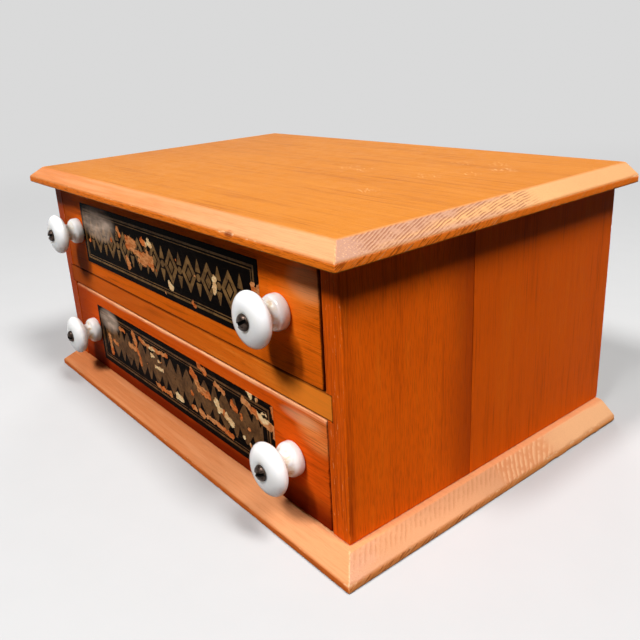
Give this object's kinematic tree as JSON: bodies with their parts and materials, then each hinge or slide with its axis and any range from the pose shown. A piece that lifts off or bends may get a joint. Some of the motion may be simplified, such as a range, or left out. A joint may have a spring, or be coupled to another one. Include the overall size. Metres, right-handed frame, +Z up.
{
  "type": "spool cabinet",
  "caption": "Low countertop cabinet of stained wood with shallow drawers, round white knobs and moulded top and base boards.",
  "frame": {"origin": "middle of the base board's underside", "axes": "+X to the right seen from the front, +Y from the drawer fronts to the back, +Z up"},
  "size_m": [0.404, 0.271, 0.1865],
  "materials": {
    "top_wood": "honey-orange stained hardwood, varnished, worn at the arrises",
    "side_wood": "deep red-orange stained hardwood, varnished",
    "front_wood": "orange-brown stained hardwood, varnished",
    "rail_wood": "orange stained hardwood, worn lighter",
    "inner_wood": "bare aged softwood",
    "porcelain": "glossy white glaze, yellowed in the hollow",
    "old_steel": "dull browned steel",
    "label_black": "varnished black label with dull gold ornament, flaked"
  },
  "bodies": {
    "case": {"top_board": "top_wood", "base_board": "top_wood", "left_side_front_board": "side_wood", "left_side_rear_board": "side_wood", "right_side_front_board": "side_wood", "right_side_rear_board": "side_wood", "back_panel": "inner_wood", "drawer_rail": "rail_wood", "left_runner": "inner_wood", "right_runner": "inner_wood", "upper_left_stop": "inner_wood", "upper_right_stop": "inner_wood", "lower_left_stop": "inner_wood", "lower_right_stop": "inner_wood", "base_screw_left_front": "old_steel", "base_screw_left_middle": "old_steel", "base_screw_left_rear": "old_steel", "top_dowel_left_front": "inner_wood", "top_dowel_left_rear": "inner_wood", "back_nail_left_low": "old_steel", "back_nail_left_middle": "old_steel", "back_nail_left_high": "old_steel", "base_screw_right_front": "old_steel", "base_screw_right_middle": "old_steel", "base_screw_right_rear": "old_steel", "top_dowel_right_front": "inner_wood", "top_dowel_right_rear": "inner_wood", "back_nail_right_low": "old_steel", "back_nail_right_middle": "old_steel", "back_nail_right_high": "old_steel"},
    "upper_drawer": {"upper_drawer_front": "front_wood", "upper_drawer_left_side": "inner_wood", "upper_drawer_right_side": "inner_wood", "upper_drawer_back": "inner_wood", "upper_drawer_bottom": "inner_wood", "upper_label": "label_black", "upper_left_knob": "porcelain", "upper_left_knob_bolt": "old_steel", "upper_left_knob_washer": "old_steel", "upper_left_knob_nut": "old_steel", "upper_right_knob": "porcelain", "upper_right_knob_bolt": "old_steel", "upper_right_knob_washer": "old_steel", "upper_right_knob_nut": "old_steel"},
    "lower_drawer": {"lower_drawer_front": "front_wood", "lower_drawer_left_side": "inner_wood", "lower_drawer_right_side": "inner_wood", "lower_drawer_back": "inner_wood", "lower_drawer_bottom": "inner_wood", "lower_label": "label_black", "lower_left_knob": "porcelain", "lower_left_knob_bolt": "old_steel", "lower_left_knob_washer": "old_steel", "lower_left_knob_nut": "old_steel", "lower_right_knob": "porcelain", "lower_right_knob_bolt": "old_steel", "lower_right_knob_washer": "old_steel", "lower_right_knob_nut": "old_steel"}
  },
  "joints": [
    {"name": "upper_drawer_slide", "type": "slide", "parent": "case", "child": "upper_drawer", "axis": [0, -1, 0], "range_m": [0, 0.18]},
    {"name": "lower_drawer_slide", "type": "slide", "parent": "case", "child": "lower_drawer", "axis": [0, -1, 0], "range_m": [0, 0.18]}
  ]
}
